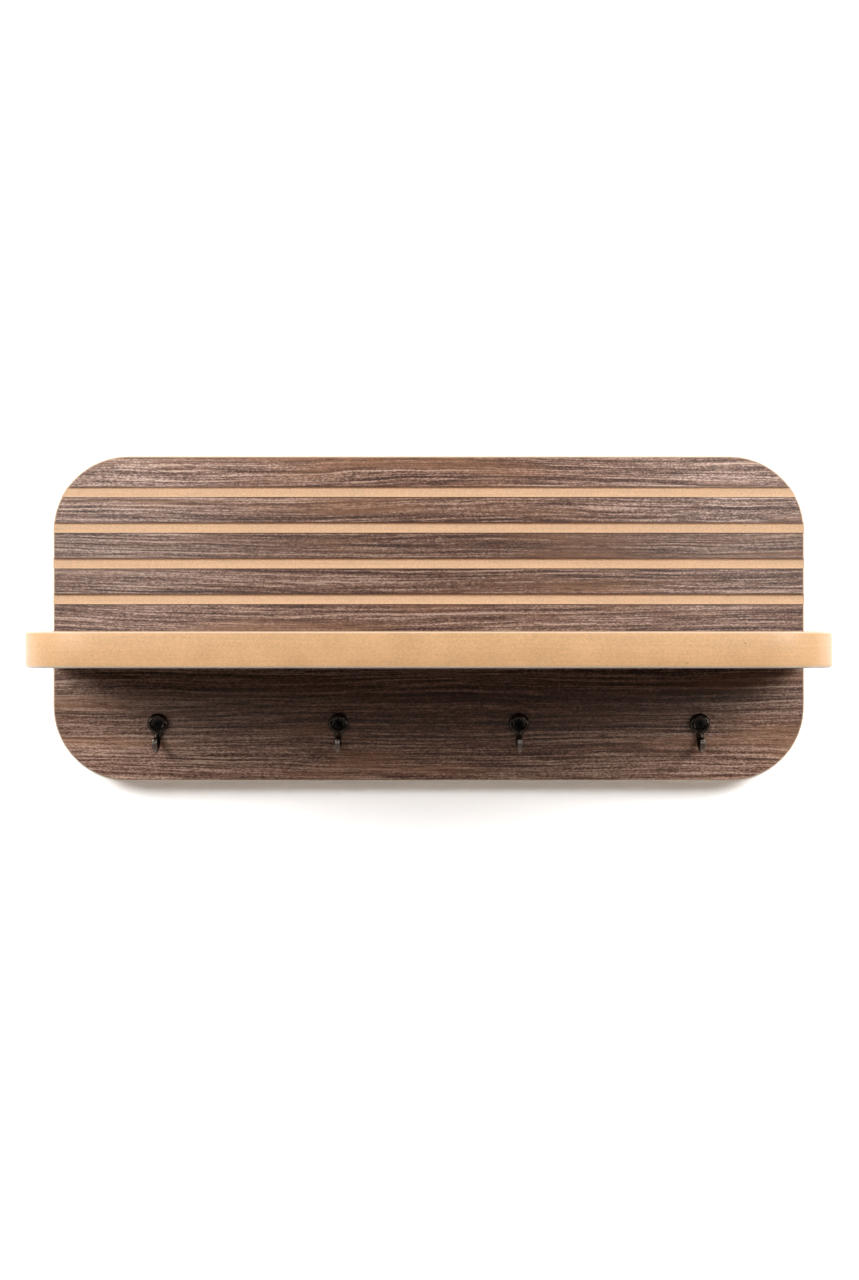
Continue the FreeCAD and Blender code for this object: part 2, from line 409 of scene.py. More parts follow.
addRoom()
print("wall and floor made")

# Walnut facing

walnut = {
    "tones": ("#2c170e", "#573626", "#876859", "#a68776", "#c5a794"),  # darkest streaks to palest
    "warm": "#9a6d4e",
    "pore": "#3a2519",
    "cutEdge": "#b08a66",
    "sheen": "#fff6f0",
    # What shifts the grain sideways: mm along, mm across, mm of shift, seed
    "waves": ((240, 60, 4.0, 3.7), (38, 7, 0.45, 8.1)),
    # Growth rings: pitch in mm, mm along and across of what bends them, rings of bend, share of tone, seed
    "rings": ((3.5, 200, 16, 5, 0.15, 6.1), (1.9, 140, 8, 5, 0.10, 7.3)),
    # Streaks: mm along, mm across, detail, share of tone, seed
    "streaks": (
        (260, 7, 2, 0.3, 5.9),
        (170, 1.0, 2, 1.9, 1.3),
        (24, 0.7, 2, 1.05, 2.2),
        (1.3, 0.5, 1, 1.6, 4.6),
    ),
    # Warm patches and pores: mm along, mm across, seed, noise where they start and are full, strength.
    # Real pores are 0.2 mm wide, and are drawn 0.5 mm wide so that they show
    "patches": (90, 12, 7.7, 0.50, 0.68, 0.45),
    "pores": (10, 0.5, 9.4, 0.58, 0.66, 0.55),
    "heartwood": (38, 0.70),  # its level in mm, and how dark
    # Where the heartwood has faded into paler sapwood, above and below it, and how pale that is
    "faded": ((76, 1.12), (-12, 1.0)),
    # Painted light: the wood is made paler towards the board's foot, a painted lift of the shelf's shadow
    # there
    "paintedLiftAtFoot": (-44, -72, 1.5),  # paler again at the foot: where it starts, where it is full, how pale
    # Painted shade: a dark line along both edges of every groove, standing in for the shadow at the groove's
    # step
    "paintedGrooveShade": (0.4, 0.7, 0.75),  # along the grooves: mm where it is full, mm where it ends, how strong
    "cutEdgeLean": (0.95, 0.80),  # how squarely a face looks out where the cut edge starts and is full
    "roughness": (0.42, 0.22),  # of the dark streaks and of the pale ones
    "paleFrom": 0.6,  # tone from which a streak counts as pale
    "ior": 1.6,
    "relief": 0.06,
    "reliefStrength": 0.12,
}


def grainTone(tree, along, across):
    # Rings and streaks added up, from zero for the darkest to one for the palest
    total = 0.5
    for pitch, reach, width, bends, share, seed in walnut["rings"]:
        bend = noiseAcross(tree, along, across, (reach, width), 2.0, seed)
        count = addNode(tree, "Math", {0: across, 1: 1 / pitch}, operation="MULTIPLY")
        phase = addNode(tree, "Math", {0: bend, 1: bends, 2: count.outputs[0]}, operation="MULTIPLY_ADD")
        turn = addNode(tree, "Math", {0: phase.outputs[0], 1: 2 * math.pi}, operation="MULTIPLY")
        ring = addNode(tree, "Math", {0: turn.outputs[0]}, operation="SINE")
        total = addNode(tree, "Math", {0: ring.outputs[0], 1: share, 2: total},
                        operation="MULTIPLY_ADD").outputs[0]
    for reach, width, detail, share, seed in walnut["streaks"]:
        streak = noiseAcross(tree, along, across, (reach, width), detail, seed)
        centred = addNode(tree, "Math", {0: streak, 1: 0.5}, operation="SUBTRACT")
        total = addNode(tree, "Math", {0: centred.outputs[0], 1: share, 2: total},
                        operation="MULTIPLY_ADD").outputs[0]
    return addNode(tree, "Clamp", {0: total}).outputs[0]


def grainMarks(tree, along, across, form):
    # How strong a scattered mark is: it starts and grows where a noise along the grain runs high
    reach, width, seed, starts, full, strength = form
    noise = noiseAcross(tree, along, across, (reach, width), 1.0, seed)
    return addNode(tree, "MapRange", {"Value": noise, "From Min": starts, "From Max": full,
                                      "To Min": 0.0, "To Max": strength}).outputs[0]


def heartSapAndPaintedLift(tree, level):
    # How pale the wood is at each level, and paler towards the board's foot as painted light under the
    # shelf's shadow
    heart, dark = walnut["heartwood"]
    shades = []
    for far, pale in walnut["faded"]:
        shades.append(addNode(tree, "MapRange", {"Value": level, "From Min": heart, "From Max": far,
                                                 "To Min": dark, "To Max": pale}).outputs[0])
    shade = addNode(tree, "Math", {0: shades[0], 1: shades[1]}, operation="MAXIMUM")
    # Painted light: paler towards the board's foot, lifting the shelf's shadow there
    starts, full, pale = walnut["paintedLiftAtFoot"]
    foot = addNode(tree, "MapRange", {"Value": level, "From Min": starts, "From Max": full,
                                      "To Min": 1.0, "To Max": pale})
    return addNode(tree, "Math", {0: shade.outputs[0], 1: foot.outputs[0]}, operation="MULTIPLY").outputs[0]


def paintedGrooveShade(tree, level, facing):
    # How strong the painted shade line is along both edges of every groove, standing in for the shadow that
    # the groove's step casts
    full, ends, strength = walnut["paintedGrooveShade"]
    fromGroove = addNode(tree, "Math", {0: level, 1: grooveLevels[0]}, operation="SUBTRACT")
    folded = addNode(tree, "Math", {0: fromGroove.outputs[0], 1: groovePitch / 2}, operation="PINGPONG")
    fromEdge = addNode(tree, "Math", {0: folded.outputs[0], 1: grooveWidth / 2}, operation="SUBTRACT")
    away = addNode(tree, "Math", {0: fromEdge.outputs[0]}, operation="ABSOLUTE")
    line = addNode(tree, "MapRange", {"Value": away.outputs[0], "From Min": full, "From Max": ends,
                                      "To Min": strength, "To Max": 0.0})
    grooved = addNode(tree, "Math", {0: level, 1: middle(grooveLevels[0], grooveLevels[-1]),
                                     2: groovePitch * len(grooveLevels) / 2}, operation="COMPARE")
    front = addNode(tree, "Math", {0: facing.outputs["Y"], 1: 0.0}, operation="LESS_THAN")
    both = addNode(tree, "Math", {0: grooved.outputs[0], 1: front.outputs[0]}, operation="MULTIPLY")
    return addNode(tree, "Math", {0: line.outputs[0], 1: both.outputs[0]}, operation="MULTIPLY").outputs[0]


def slicedWalnut(name, acrossAxis, faceAxis, grooved):
    # Walnut facing, sliced, dyed grey-brown and finished satin: long fine streaks, short dark pores and a
    # pale sheen where the light comes in low
    material, tree = newMaterial(name)
    place = addNode(tree, "TexCoord")
    axes = addNode(tree, "SeparateXYZ", {0: millimetres(tree, place)})
    facing = addNode(tree, "SeparateXYZ", {0: place.outputs["Normal"]})
    along = axes.outputs["X"]
    level = axes.outputs[acrossAxis]
    across = level
    low, high = wholeNoise
    for reach, width, shift, seed in walnut["waves"]:
        wave = noiseAcross(tree, along, across, (reach, width), 1.0, seed)
        moved = addNode(tree, "MapRange", {"Value": wave, "From Min": low, "From Max": high,
                                           "To Min": -shift, "To Max": shift}, clamp=False)
        across = addNode(tree, "Math", {0: across, 1: moved.outputs[0]}, operation="ADD").outputs[0]
    tone = grainTone(tree, along, across)
    warmth = grainMarks(tree, along, across, walnut["patches"])
    poreDepth = grainMarks(tree, along, across, walnut["pores"])

    palest = len(walnut["tones"]) - 1
    stops = [(number / palest, code) for number, code in enumerate(walnut["tones"])]
    wood = addNode(tree, "ValToRGB", {0: tone}, stops=stops)
    warmed = addNode(tree, "Mix", {0: warmth, 6: wood.outputs[0], 7: walnut["warm"]}, data_type="RGBA")
    grained = addNode(tree, "Mix", {0: poreDepth, 6: warmed.outputs[2], 7: walnut["pore"]}, data_type="RGBA")
    colour = addNode(tree, "HueSaturation", {"Color": grained.outputs[2],
                                             "Value": heartSapAndPaintedLift(tree, level)}).outputs[0]
    # Painted shade along the grooves' edges, in the pores' dark colour
    if grooved:
        colour = addNode(tree, "Mix", {0: paintedGrooveShade(tree, level, facing), 6: colour, 7: walnut["pore"]},
                         data_type="RGBA").outputs[2]
    # The facing's own cut edge, which shows as a thin tan line on the eased rim
    squareness = addNode(tree, "Math", {0: facing.outputs[faceAxis]}, operation="ABSOLUTE")
    starts, full = walnut["cutEdgeLean"]
    cut = addNode(tree, "MapRange", {"Value": squareness.outputs[0], "From Min": starts, "From Max": full,
                                     "To Min": 0.0, "To Max": 1.0})
    colour = addNode(tree, "Mix", {0: cut.outputs[0], 6: colour, 7: walnut["cutEdge"]},
                     data_type="RGBA").outputs[2]

    # The open pores and dark streaks are rough, and the pale fibres between them take the sheen
    dull, glossy = walnut["roughness"]
    roughness = addNode(tree, "MapRange", {"Value": tone, "From Min": 0.0, "From Max": walnut["paleFrom"],
                                           "To Min": dull, "To Max": glossy})
    relief = addNode(tree, "Math", {0: tone, 1: poreDepth}, operation="SUBTRACT")
    bump = addNode(tree, "Bump", {"Height": relief.outputs[0], "Strength": walnut["reliefStrength"],
                                  "Distance": walnut["relief"] * mm})
    shader = addNode(tree, "BsdfPrincipled", {"Base Color": colour, "Roughness": roughness.outputs[0],
                                              "IOR": walnut["ior"], "Specular Tint": walnut["sheen"],
                                              "Normal": bump.outputs[0]})
    addNode(tree, "OutputMaterial", {"Surface": shader.outputs[0]})
    return material


# MDF under clear lacquer

mdf = {
    "speckle": 0.7,  # fibre bundles, drawn coarser than the real 0.2 mm so that they show
    "mottle": 16,
    "streak": (55, 0.9, 4.4),  # mm along, mm across, seed
    "blend": 0.25,  # share of the mottle in the speckle, and then of the streak in both
    "tone": (0.84, 1.15),  # of the darkest and the palest fibres
    "fleckEvery": 9,
    "fleckSize": 0.55,
    "fleckless": 0.62,  # share of the places that hold no fleck
    "fleckStrength": 0.85,
    "fleck": "#6b4a33",
    "arrisLean": (0.08, 0.25),  # 0.25 is a face that leans 45 degrees from the panel's plane
    "arrisStrength": 0.9,
    # Painted light: arrises that face down are coloured near white, standing in for light from below that
    # they lack
    "paintedLitLowArris": "#fff2e2",
    "paintedLitLowArrisFacing": (0.2, -0.5),  # how far a face looks up where that colour starts and is full
    "ior": 1.5,
    "relief": 0.05,
    "reliefStrength": 0.25,
}
milledMdf = {
    "colour": "#dab591",
    "arris": "#f1e0cb",
    "panelAxis": "Y",
    "roughness": (0.68, 0.84),
    "gloss": 0.35,
}
sandedMdf = {
    "colour": "#e4b27e",
    "arris": "#ebcfb3",
    "panelAxis": "Z",
    "roughness": (0.36, 0.50),
    "gloss": 0.60,
}


def lacqueredMdf(name, finish):
    # MDF, milled or sanded, under a thin clear lacquer: an even tan with fine fibre speckle, a few dark
    # flecks of bark and a paler line along the sanded arris, with painted light where the arris faces down
    material, tree = newMaterial(name)
    place = addNode(tree, "TexCoord")
    inMm = millimetres(tree, place)
    axes = addNode(tree, "SeparateXYZ", {0: inMm})
    speckle = addNode(tree, "TexNoise", {"Vector": inMm, "Scale": 1 / mdf["speckle"], "Detail": 3.0})
    mottle = addNode(tree, "TexNoise", {"Vector": inMm, "Scale": 1 / mdf["mottle"], "Detail": 2.0})
    reach, width, seed = mdf["streak"]
    streak = noiseAcross(tree, axes.outputs["X"], axes.outputs["Z"], (reach, width), 3.0, seed)
    fibres = addNode(tree, "Mix", {0: mdf["blend"], 2: speckle.outputs[0], 3: mottle.outputs[0]},
                     data_type="FLOAT")
    fibres = addNode(tree, "Mix", {0: mdf["blend"], 2: fibres.outputs[0], 3: streak}, data_type="FLOAT")
    low, high = mostNoise
    darkest, palest = mdf["tone"]
    tone = addNode(tree, "MapRange", {"Value": fibres.outputs[0], "From Min": low, "From Max": high,
                                      "To Min": darkest, "To Max": palest})
    board = addNode(tree, "HueSaturation", {"Color": finish["colour"], "Value": tone.outputs[0]})

    cells = addNode(tree, "TexVoronoi", {"Vector": inMm, "Scale": 1 / mdf["fleckEvery"]})
    chance = addNode(tree, "SeparateColor", {0: cells.outputs["Color"]})
    picked = addNode(tree, "Math", {0: chance.outputs[0], 1: mdf["fleckless"]}, operation="GREATER_THAN")
    spot = addNode(tree, "MapRange", {"Value": cells.outputs["Distance"], "From Min": 0.0,
                                      "From Max": mdf["fleckSize"] / mdf["fleckEvery"],
                                      "To Min": mdf["fleckStrength"], "To Max": 0.0})
    dark = addNode(tree, "Math", {0: picked.outputs[0], 1: spot.outputs[0]}, operation="MULTIPLY")
    flecked = addNode(tree, "Mix", {0: dark.outputs[0], 6: board.outputs[0], 7: mdf["fleck"]},
                      data_type="RGBA")

    # n2 (1 - n2) of the normal's outward part is zero on the panel's flats and 0.25 halfway round an arris
    facing = addNode(tree, "SeparateXYZ", {0: place.outputs["Normal"]})
    outward = facing.outputs[finish["panelAxis"]]
    square = addNode(tree, "Math", {0: outward, 1: outward}, operation="MULTIPLY")
    rest = addNode(tree, "Math", {0: 1.0, 1: square.outputs[0]}, operation="SUBTRACT")
    lean = addNode(tree, "Math", {0: square.outputs[0], 1: rest.outputs[0]}, operation="MULTIPLY")
    starts, full = mdf["arrisLean"]
    arrisWearAndLight = addNode(tree, "MapRange", {"Value": lean.outputs[0], "From Min": starts, "From Max": full,
                                      "To Min": 0.0, "To Max": mdf["arrisStrength"]})
    # Painted light: where the arris faces down it takes a near white colour, as if lit from below
    starts, full = mdf["paintedLitLowArrisFacing"]
    paintedLightDownward = addNode(tree, "MapRange", {"Value": facing.outputs["Z"], "From Min": starts, "From Max": full,
                                          "To Min": 0.0, "To Max": 1.0})
    arris = addNode(tree, "Mix", {0: paintedLightDownward.outputs[0], 6: finish["arris"], 7: mdf["paintedLitLowArris"]},
                    data_type="RGBA")
    coloured = addNode(tree, "Mix", {0: arrisWearAndLight.outputs[0], 6: flecked.outputs[2], 7: arris.outputs[2]},
                       data_type="RGBA")
    glossy, dull = finish["roughness"]
    roughness = addNode(tree, "MapRange", {"Value": mottle.outputs[0], "From Min": low, "From Max": high,
                                           "To Min": glossy, "To Max": dull})
    bump = addNode(tree, "Bump", {"Height": speckle.outputs[0], "Strength": mdf["reliefStrength"],
                                  "Distance": mdf["relief"] * mm})
    shader = addNode(tree, "BsdfPrincipled", {"Base Color": coloured.outputs[2],
                                              "Roughness": roughness.outputs[0], "IOR": mdf["ior"],
                                              "Specular IOR Level": finish["gloss"],
                                              "Normal": bump.outputs[0]})
    addNode(tree, "OutputMaterial", {"Surface": shader.outputs[0]})
    return material


# Metals

# "wearAt" is how far an edge stands out where its wear starts and is full. The grain of real plating is
# finer than 0.1 mm, and is drawn coarser so that it breaks up the gloss
plating = {"wearAt": (0.52, 0.60), "relief": 0.02, "reliefStrength": 0.15}
darkBronze = {
    "patch": 3, "grain": 0.3, "dark": "#2a2420", "light": "#352d27", "edge": "#8d7d70", "wear": 0.5,
    "roughness": (0.20, 0.28), "metallic": 1.0, "specular": 0.5,
    # Rubbed by the rings that hang there: the place, mm from it to where that is full and to where it
    # ends, colour, roughness
    "rubbed": (
        ((0, -16, -12.5), (3.6, 5.4), "#54463e", 0.40),  # the arm, to a dull brown
        ((0, -17.5, -8.6), (1.4, 1.9), "#7d756e", 0.10),  # the tip, to a bright point
    ),
}
blackOxide = {
    "patch": 1.5, "grain": 0.2, "dark": "#0b0909", "light": "#191514", "edge": "#4a403b", "wear": 0.5,
    "roughness": (0.30, 0.45), "metallic": 0.6, "specular": 0.3, "rubbed": (),
}
zincPlate = {
    "patch": 2, "grain": 0.2, "dark": "#a09c92", "light": "#c2beb3", "edge": "#d6d3ca", "wear": 0.4,
    "roughness": (0.28, 0.42), "metallic": 1.0, "specular": 0.5, "rubbed": (),
}


def platedMetal(name, finish):
    # A plated or blackened casting: patchy gloss, and edges where handling has brightened the metal
    material, tree = newMaterial(name)
    place = addNode(tree, "TexCoord")
    patch, grain = (addNode(tree, "TexNoise", {"Vector": place.outputs["Object"],
                                               "Scale": 1 / (finish[size] * mm), "Detail": detail})
                    for size, detail in (("patch", 3.0), ("grain", 2.0)))
    low, high = mostNoise
    tone = addNode(tree, "ValToRGB", {0: patch.outputs[0]},
                   stops=((low, finish["dark"]), (high, finish["light"])))
    shape = addNode(tree, "NewGeometry")
    starts, full = plating["wearAt"]
    edge = addNode(tree, "MapRange", {"Value": shape.outputs["Pointiness"], "From Min": starts,
                                      "From Max": full, "To Min": 0.0, "To Max": finish["wear"]})
    colour = addNode(tree, "Mix", {0: edge.outputs[0], 6: tone.outputs[0], 7: finish["edge"]},
                     data_type="RGBA").outputs[2]
    glossy, dull = finish["roughness"]
    roughness = addNode(tree, "MapRange", {"Value": patch.outputs[0], "From Min": low, "From Max": high,
                                           "To Min": glossy, "To Max": dull}).outputs[0]
    for spot, (near, far), rubbedColour, rubbedRoughness in finish["rubbed"]:
        away = addNode(tree, "VectorMath", {0: place.outputs["Object"], 1: [part * mm for part in spot]},
                       operation="DISTANCE")
        rubbed = addNode(tree, "MapRange", {"Value": away.outputs["Value"], "From Min": near * mm,
                                            "From Max": far * mm, "To Min": 1.0, "To Max": 0.0})
        colour = addNode(tree, "Mix", {0: rubbed.outputs[0], 6: colour, 7: rubbedColour},
                         data_type="RGBA").outputs[2]
        roughness = addNode(tree, "Mix", {0: rubbed.outputs[0], 2: roughness, 3: rubbedRoughness},
                            data_type="FLOAT").outputs[0]
    bump = addNode(tree, "Bump", {"Height": grain.outputs[0], "Strength": plating["reliefStrength"],
                                  "Distance": plating["relief"] * mm})
    shader = addNode(tree, "BsdfPrincipled", {"Base Color": colour, "Metallic": finish["metallic"],
                                              "Roughness": roughness, "Normal": bump.outputs[0],
                                              "Specular IOR Level": finish["specular"]})
    addNode(tree, "OutputMaterial", {"Surface": shader.outputs[0]})
    return material


# Beech

beech = {
    "rayFleck": (0.5, 4.0, 0.5),  # mm across, along and across
    "tones": ((0.38, "#a9794f"), (0.5, "#cda377"), (0.62, "#dcb78e")),
    "roughness": 0.6,
    "ior": 1.5,
    "relief": 0.05,
    "reliefStrength": 0.3,
}


def turnedBeech(name):
    # Beech dowel, turned and fluted: pale pinkish tan with short darker ray flecks along the grain
    material, tree = newMaterial(name)
    place = addNode(tree, "TexCoord")
    perMm = [1 / size for size in beech["rayFleck"]]
    drawn = addNode(tree, "VectorMath", {0: millimetres(tree, place), 1: perMm}, operation="MULTIPLY")
    fleck = addNode(tree, "TexNoise", {"Vector": drawn.outputs[0], "Scale": 1.0, "Detail": 3.0})
    tone = addNode(tree, "ValToRGB", {0: fleck.outputs[0]}, stops=beech["tones"])
    bump = addNode(tree, "Bump", {"Height": fleck.outputs[0], "Strength": beech["reliefStrength"],
                                  "Distance": beech["relief"] * mm})
    shader = addNode(tree, "BsdfPrincipled", {"Base Color": tone.outputs[0], "Roughness": beech["roughness"],
                                              "IOR": beech["ior"], "Normal": bump.outputs[0]})
    addNode(tree, "OutputMaterial", {"Surface": shader.outputs[0]})
    return material


finishes = {
    "boardFacing": slicedWalnut("walnutFacingBoard", acrossAxis="Z", faceAxis="Y", grooved=True),
    "shelfFacing": slicedWalnut("walnutFacingShelf", acrossAxis="Y", faceAxis="Z", grooved=False),
    "boardCore": lacqueredMdf("lacqueredMdfMilled", milledMdf),
    "shelfCore": lacqueredMdf("lacqueredMdfSanded", sandedMdf),
    "hook": platedMetal("darkBronzePlating", darkBronze),
    "hookScrew": platedMetal("blackOxideSteel", blackOxide),
    "shelfScrew": platedMetal("zincPlatedSteel", zincPlate),
    "dowel": turnedBeech("turnedBeech"),
}
print("materials made:", len(finishes))

# Board and shelf: the frame's own panels with their machined edges broken

panel = {"edgeBreak": 0.12, "segments": 2, "sharpDegrees": 32, "joinWithin": 0.002, "flatDegrees": 0.5}


def dressPanel(node, name, finish):
    piece = linkPiece(name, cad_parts[node].data.copy())
    work = bmesh.new()
    work.from_mesh(piece.data)
    bmesh.ops.remove_doubles(work, verts=work.verts, dist=panel["joinWithin"] * mm)
    bmesh.ops.dissolve_limit(work, angle_limit=math.radians(panel["flatDegrees"]), verts=work.verts,
                             edges=work.edges)
    work.to_mesh(piece.data)
    work.free()
    rounding = piece.modifiers.new("edgeBreak", "BEVEL")
    rounding.width = panel["edgeBreak"] * mm
    rounding.segments = panel["segments"]
    rounding.limit_method = "ANGLE"
    rounding.angle_limit = math.radians(panel["sharpDegrees"])
    rounding.use_clamp_overlap = True
    applyModifiers(piece)
    smoothMesh(piece.data, panel["sharpDegrees"])
    piece.data.materials.clear()
    piece.data.materials.append(finish)
    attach(piece, "root")
    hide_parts(node)


dressPanel("back_board_core", "boardCore", finishes["boardCore"])
dressPanel("shelf_core", "shelfCore", finishes["shelfCore"])
for node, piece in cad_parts.items():
    if "facing" in node:
        piece.data.materials.clear()
        piece.data.materials.append(finishes["shelfFacing" if node.startswith("shelf_") else "boardFacing"])
print("board and shelf dressed")

# Hooks: one casting each, a round plate that flows into a curved stem with a ball at its tip

hookForm = {
    "plateRadius": 5.45,
    "plateEdge": 1.3,  # straight side of the plate
    "plateThickness": 3.0,
    "plateSides": 72,
    "rimRound": 1.9,
    "rimSteps": 8,
    "hole": 1.7,
    "sink": 3.05,
    "sinkLip": 0.3,  # rounding of the countersink's mouth
    "lipSteps": 4,
    "stand": 1.5,  # from the board to the stem's middle line where it leaves the plate
    "backSweep": 9.7,  # radius of the bend down to the bottom
    "frontBend": 6.4,  # and of the one up to the tip
    "drop": 14.2,  # from the plate's middle to the bottom of the middle line
    "tipRise": 5.6,  # from there up to the ball's middle
    "ball": 1.5,
    "ballSteps": 20,
    "width": 3.4,
    "thickness": 2.6,
    "sides": 28,
    # Along the stem: share of a quarter turn, of the width and of the thickness
    "stemShares": ((0.00, 1.60, 0.70), (0.10, 1.24, 0.74), (0.20, 1.06, 0.80), (0.36, 0.97, 0.90),
                   (0.58, 0.95, 0.96), (0.80, 0.80, 1.00), (1.00, 0.62, 1.00), (1.15, 0.68, 1.00),
                   (1.30, 0.80, 1.00), (1.44, 0.88, 0.97), (1.58, 0.88, 0.94), (1.70, 0.84, 0.90),
                   (1.81, 0.80, 0.86), (1.92, 0.78, 0.82)),
    # How plate, stem and ball are melted into one casting
    "voxel": 0.13,
    "smoothFactor": 0.5,
    "smoothRounds": 5,
    "keptFaces": 0.4,
}


def stemFrame(angle):
    # The middle line runs down at angle 0, level at a quarter turn and up again past it
    bend = hookForm["backSweep"] if angle < math.pi / 2 else hookForm["frontBend"]
    y = -hookForm["stand"] - hookForm["backSweep"] + bend * math.cos(angle)
    z = -hookForm["drop"] + bend - bend * math.sin(angle)
    return Vector((0, y, z)), Vector((0, math.cos(angle), -math.sin(angle)))


def platePiece():
    # A turned section with a rounded rim and a countersink
    form = hookForm
    front = -form["plateThickness"]
    rise = form["plateThickness"] - form["plateEdge"]
    profile = [(form["hole"], 0), (form["plateRadius"], 0), (form["plateRadius"], -form["plateEdge"])]
    for step in range(1, form["rimSteps"] + 1):
        turn = step / form["rimSteps"] * math.pi / 2
        profile.append((form["plateRadius"] - form["rimRound"] * (1 - math.cos(turn)),
                        -form["plateEdge"] - rise * math.sin(turn)))
    for step in range(form["lipSteps"] + 1):
        turn = step / form["lipSteps"] * math.pi / 4
        profile.append((form["sink"] + form["sinkLip"] * (1 - math.sin(turn)),
                        front + form["sinkLip"] * (1 - math.cos(turn))))
    profile.append((form["hole"], front + form["sink"] - form["hole"]))
    rings = [turnedRing(radius, y, form["plateSides"]) for radius, y in profile]
    return skinRings("plate", rings, closedLoop=True)


def stemPiece():
    form = hookForm
    rings = []
    for share, width, thickness in form["stemShares"]:
        centre, across = stemFrame(share * math.pi / 2)
        rings.append(ovalRing(centre, across, width * form["width"], thickness * form["thickness"],
                              form["sides"]))
    return skinRings("stem", rings)


def ballPiece():
    form = hookForm
    lastTurn = math.pi / 2 + math.acos(1 - form["tipRise"] / form["frontBend"])
    centre, across = stemFrame(lastTurn)
    onward = across.cross(Vector((1, 0, 0)))
    rings = []
    for step in range(1, form["ballSteps"]):
        turn = math.pi * step / form["ballSteps"]
        width = 2 * form["ball"] * math.sin(turn)
        ringCentre = centre - onward * (form["ball"] * math.cos(turn))
        rings.append(ovalRing(ringCentre, across, width, width, form["sides"]))
    return skinRings("ball", rings)


def hookMesh():
    work = bmesh.new()
    for part in (platePiece(), stemPiece(), ballPiece()):
        faceOutward(part)
        work.from_mesh(part)
        bpy.data.meshes.remove(part)
    mesh = bpy.data.meshes.new("hookCasting")
    work.to_mesh(mesh)
    work.free()
    casting = linkPiece("hookCasting", mesh)
    merged = casting.modifiers.new("oneCasting", "REMESH")
    merged.mode = "VOXEL"
    merged.voxel_size = hookForm["voxel"]
    smooth = casting.modifiers.new("castRadii", "SMOOTH")
    smooth.factor = hookForm["smoothFactor"]
    smooth.iterations = hookForm["smoothRounds"]
    fewer = casting.modifiers.new("fewerFaces", "DECIMATE")
    fewer.ratio = hookForm["keptFaces"]
    applyModifiers(casting)
    mesh = casting.data
    bpy.data.objects.remove(casting)
    mesh.transform(Matrix.Scale(mm, 4))
    mesh.shade_smooth()
    return mesh


def addHooks():
    casting = hookMesh()
    casting.materials.append(finishes["hook"])
    places = []
    for number, node in enumerate(hookNames, start=1):
        low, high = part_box(node)
        place = Vector((middle(low.x, high.x), boardFront, high.z - hookForm["plateRadius"] * mm))
        piece = linkPiece(f"hookCasting{number}", casting)
        piece.location = place
        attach(piece, "root")
        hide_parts(node)
        places.append(place)
    print("hooks cast:", len(places), "faces each:", len(casting.polygons))
    return places


hookPlaces = addHooks()

# Screws, threaded and cross recessed, made along +Y with the head's face at the origin

# "dome" is how far the head's face falls off at its rim, and "turns" the degrees that each screw is turned
hookScrew = {
    "length": 16, "shank": 1.15, "crest": 1.5, "pitch": 1.1, "plain": 4.5, "point": 3.0,
    "head": 2.6, "dome": 0.125, "slotLength": 3.1, "slotWidth": 0.75, "slotDepth": 1.3,
    "turns": (12, 41, 63, 24),
}
shelfScrew = {
    "length": 50, "shank": 1.5, "crest": 2.0, "pitch": 1.8, "plain": 20, "point": 5.0,
    "head": 4.0, "dome": 0.0, "slotLength": 4.8, "slotWidth": 1.15, "slotDepth": 2.2,
    "turns": (33, 8),
}
# What both kinds have alike
screwCut = {
    "sides": 32,
    "headSteps": 4,
    "headShares": (0.15, 1.0),  # of the rings on the head's face, from the middle out
    "faceShare": 0.985,  # of the head, inside its broken rim
    "rimBreak": 0.06,
    "neckShare": 1.12,  # of the shank, from the head to the thread
    "stepsPerPitch": 8,
    "ridgeShare": 0.28,  # half the foot of the thread's ridge, of the pitch
    "fadeInPitches": 2,
    "tipShare": 0.06,
    "tip": 0.06,
    "recessTopShare": 1.1,
    "recessAbove": 0.5,  # how far the cutter starts above the head
    "recessEndShares": (0.45, 0.8),  # of its length and width, at the bottom
    "sharpDegrees": 35,
}


def screwPiece(name, form):
    cut = screwCut
    sides = cut["sides"]
    rings = []
    first, last = cut["headShares"]
    for step in range(cut["headSteps"] + 1):
        share = first + (last - first) * step / cut["headSteps"]
        rings.append(turnedRing(form["head"] * share * cut["faceShare"], form["dome"] * share ** 2, sides))
    neck = form["shank"] * cut["neckShare"]
    rings.append(turnedRing(form["head"], form["dome"] + cut["rimBreak"], sides))
    rings.append(turnedRing(neck, form["head"] - neck + form["dome"], sides))
    rings.append(turnedRing(neck, form["plain"] - form["pitch"], sides))
    y = form["plain"]
    stepLength = form["pitch"] / cut["stepsPerPitch"]
    while y < form["length"] - stepLength / 2:
        slim = min(1.0, cut["tipShare"] + (form["length"] - y) / form["point"])
        fadeIn = min(1.0, (y - form["plain"]) / (cut["fadeInPitches"] * form["pitch"]))
        radii = []
        for turn in turnsOf(sides):
            phase = (y / form["pitch"] - turn / (2 * math.pi)) % 1.0
            ridge = max(0.0, 1 - abs(phase - 0.5) / cut["ridgeShare"]) * fadeIn
            radii.append((form["shank"] + (form["crest"] - form["shank"]) * ridge) * slim)
        rings.append(unevenRing(radii, y))
        y += stepLength
    rings.append(turnedRing(cut["tip"], form["length"], sides))
    mesh = skinRings(name, rings)
    smoothMesh(mesh, cut["sharpDegrees"])
    return linkPiece(name, mesh)


def crossOutline(length, width, y):
    a, b = length / 2, width / 2
    corners = ((a, b), (b, b), (b, a), (-b, a), (-b, b), (-a, b), (-a, -b), (-b, -b), (-b, -a), (b, -a),
               (b, -b), (a, -b))
    return [Vector((x, y, z)) for x, z in corners]


